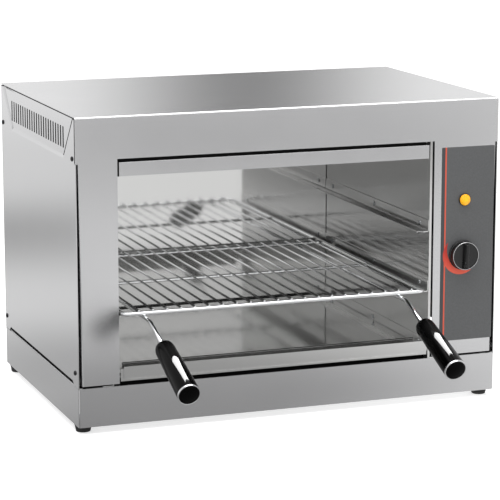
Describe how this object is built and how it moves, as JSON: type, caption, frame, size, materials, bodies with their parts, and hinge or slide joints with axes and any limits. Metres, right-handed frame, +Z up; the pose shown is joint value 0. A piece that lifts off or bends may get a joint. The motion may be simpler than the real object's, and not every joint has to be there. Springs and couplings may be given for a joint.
{
  "type": "cheese melter",
  "caption": "Counter-top cheese melter: stainless casing open at the front, wire rack with two black grips on side runners, overhead tubular elements, crumb tray and one control knob.",
  "frame": {"origin": "centre of the bounding box on the counter plane under the feet", "axes": "+X to the right across the front (longest extent), -Y towards the front, +Z up"},
  "size_m": [0.644, 0.6378, 0.4485],
  "materials": {
    "casing_steel": "satin brushed stainless steel",
    "liner_steel": "bright polished stainless steel",
    "rack_chrome": "bright chrome plated wire",
    "fastener_steel": "bright zinc plated steel",
    "heater_tube": "dark heat-stained stainless tube",
    "foot_rubber": "matt black rubber",
    "grip_plastic": "glossy black phenolic",
    "trim_chrome": "bright thin metal ring",
    "label_film": "dark grey printed film with a red line and a red crescent",
    "lamp_amber": "clear amber plastic",
    "black_plastic": "black plastic with a soft shine",
    "control_body": "pale heat resistant moulding"
  },
  "bodies": {
    "casing": {"base_plinth": "casing_steel", "foot_rails": "casing_steel", "feet": "foot_rubber", "foot_screws": "fastener_steel", "hood": "casing_steel", "side_panel_left": "casing_steel", "side_panel_right": "casing_steel", "rear_panel": "casing_steel", "panel_screws": "fastener_steel", "front_sill": "casing_steel", "chamber_wall_left": "liner_steel", "chamber_wall_right": "liner_steel", "chamber_wall_rear": "liner_steel", "reflector": "liner_steel", "element_shield": "casing_steel", "heating_elements": "heater_tube", "element_hangers": "fastener_steel", "runners_left": "liner_steel", "runners_right": "liner_steel", "runner_rivets": "fastener_steel", "deck_bolts": "fastener_steel", "control_label": "label_film", "lamp_lens": "lamp_amber", "lamp_body": "black_plastic", "regulator_body": "control_body", "regulator_nut": "fastener_steel", "terminal_block": "control_body", "cable_gland": "black_plastic", "gland_nut": "black_plastic"},
    "rack": {"rack_frame": "rack_chrome", "rack_bars": "rack_chrome", "handle_rods": "rack_chrome", "handle_grips": "grip_plastic", "grip_rings": "trim_chrome"},
    "crumb_tray": {"crumb_tray": "liner_steel"},
    "knob": {"knob": "black_plastic", "knob_ring": "trim_chrome", "regulator_shaft": "fastener_steel"}
  },
  "joints": [
    {"name": "rack_slide", "type": "slide", "parent": "casing", "child": "rack", "axis": [0, -1, 0], "range_m": [0, 0.3]},
    {"name": "crumb_tray_slide", "type": "slide", "parent": "casing", "child": "crumb_tray", "axis": [0, -1, 0], "range_m": [0, 0.155]},
    {"name": "knob_turn", "type": "hinge", "parent": "casing", "child": "knob", "pos_m": [0.266, -0.10606, 0.2185], "axis": [0, 1, 0], "range_deg": [0, 270]}
  ]
}
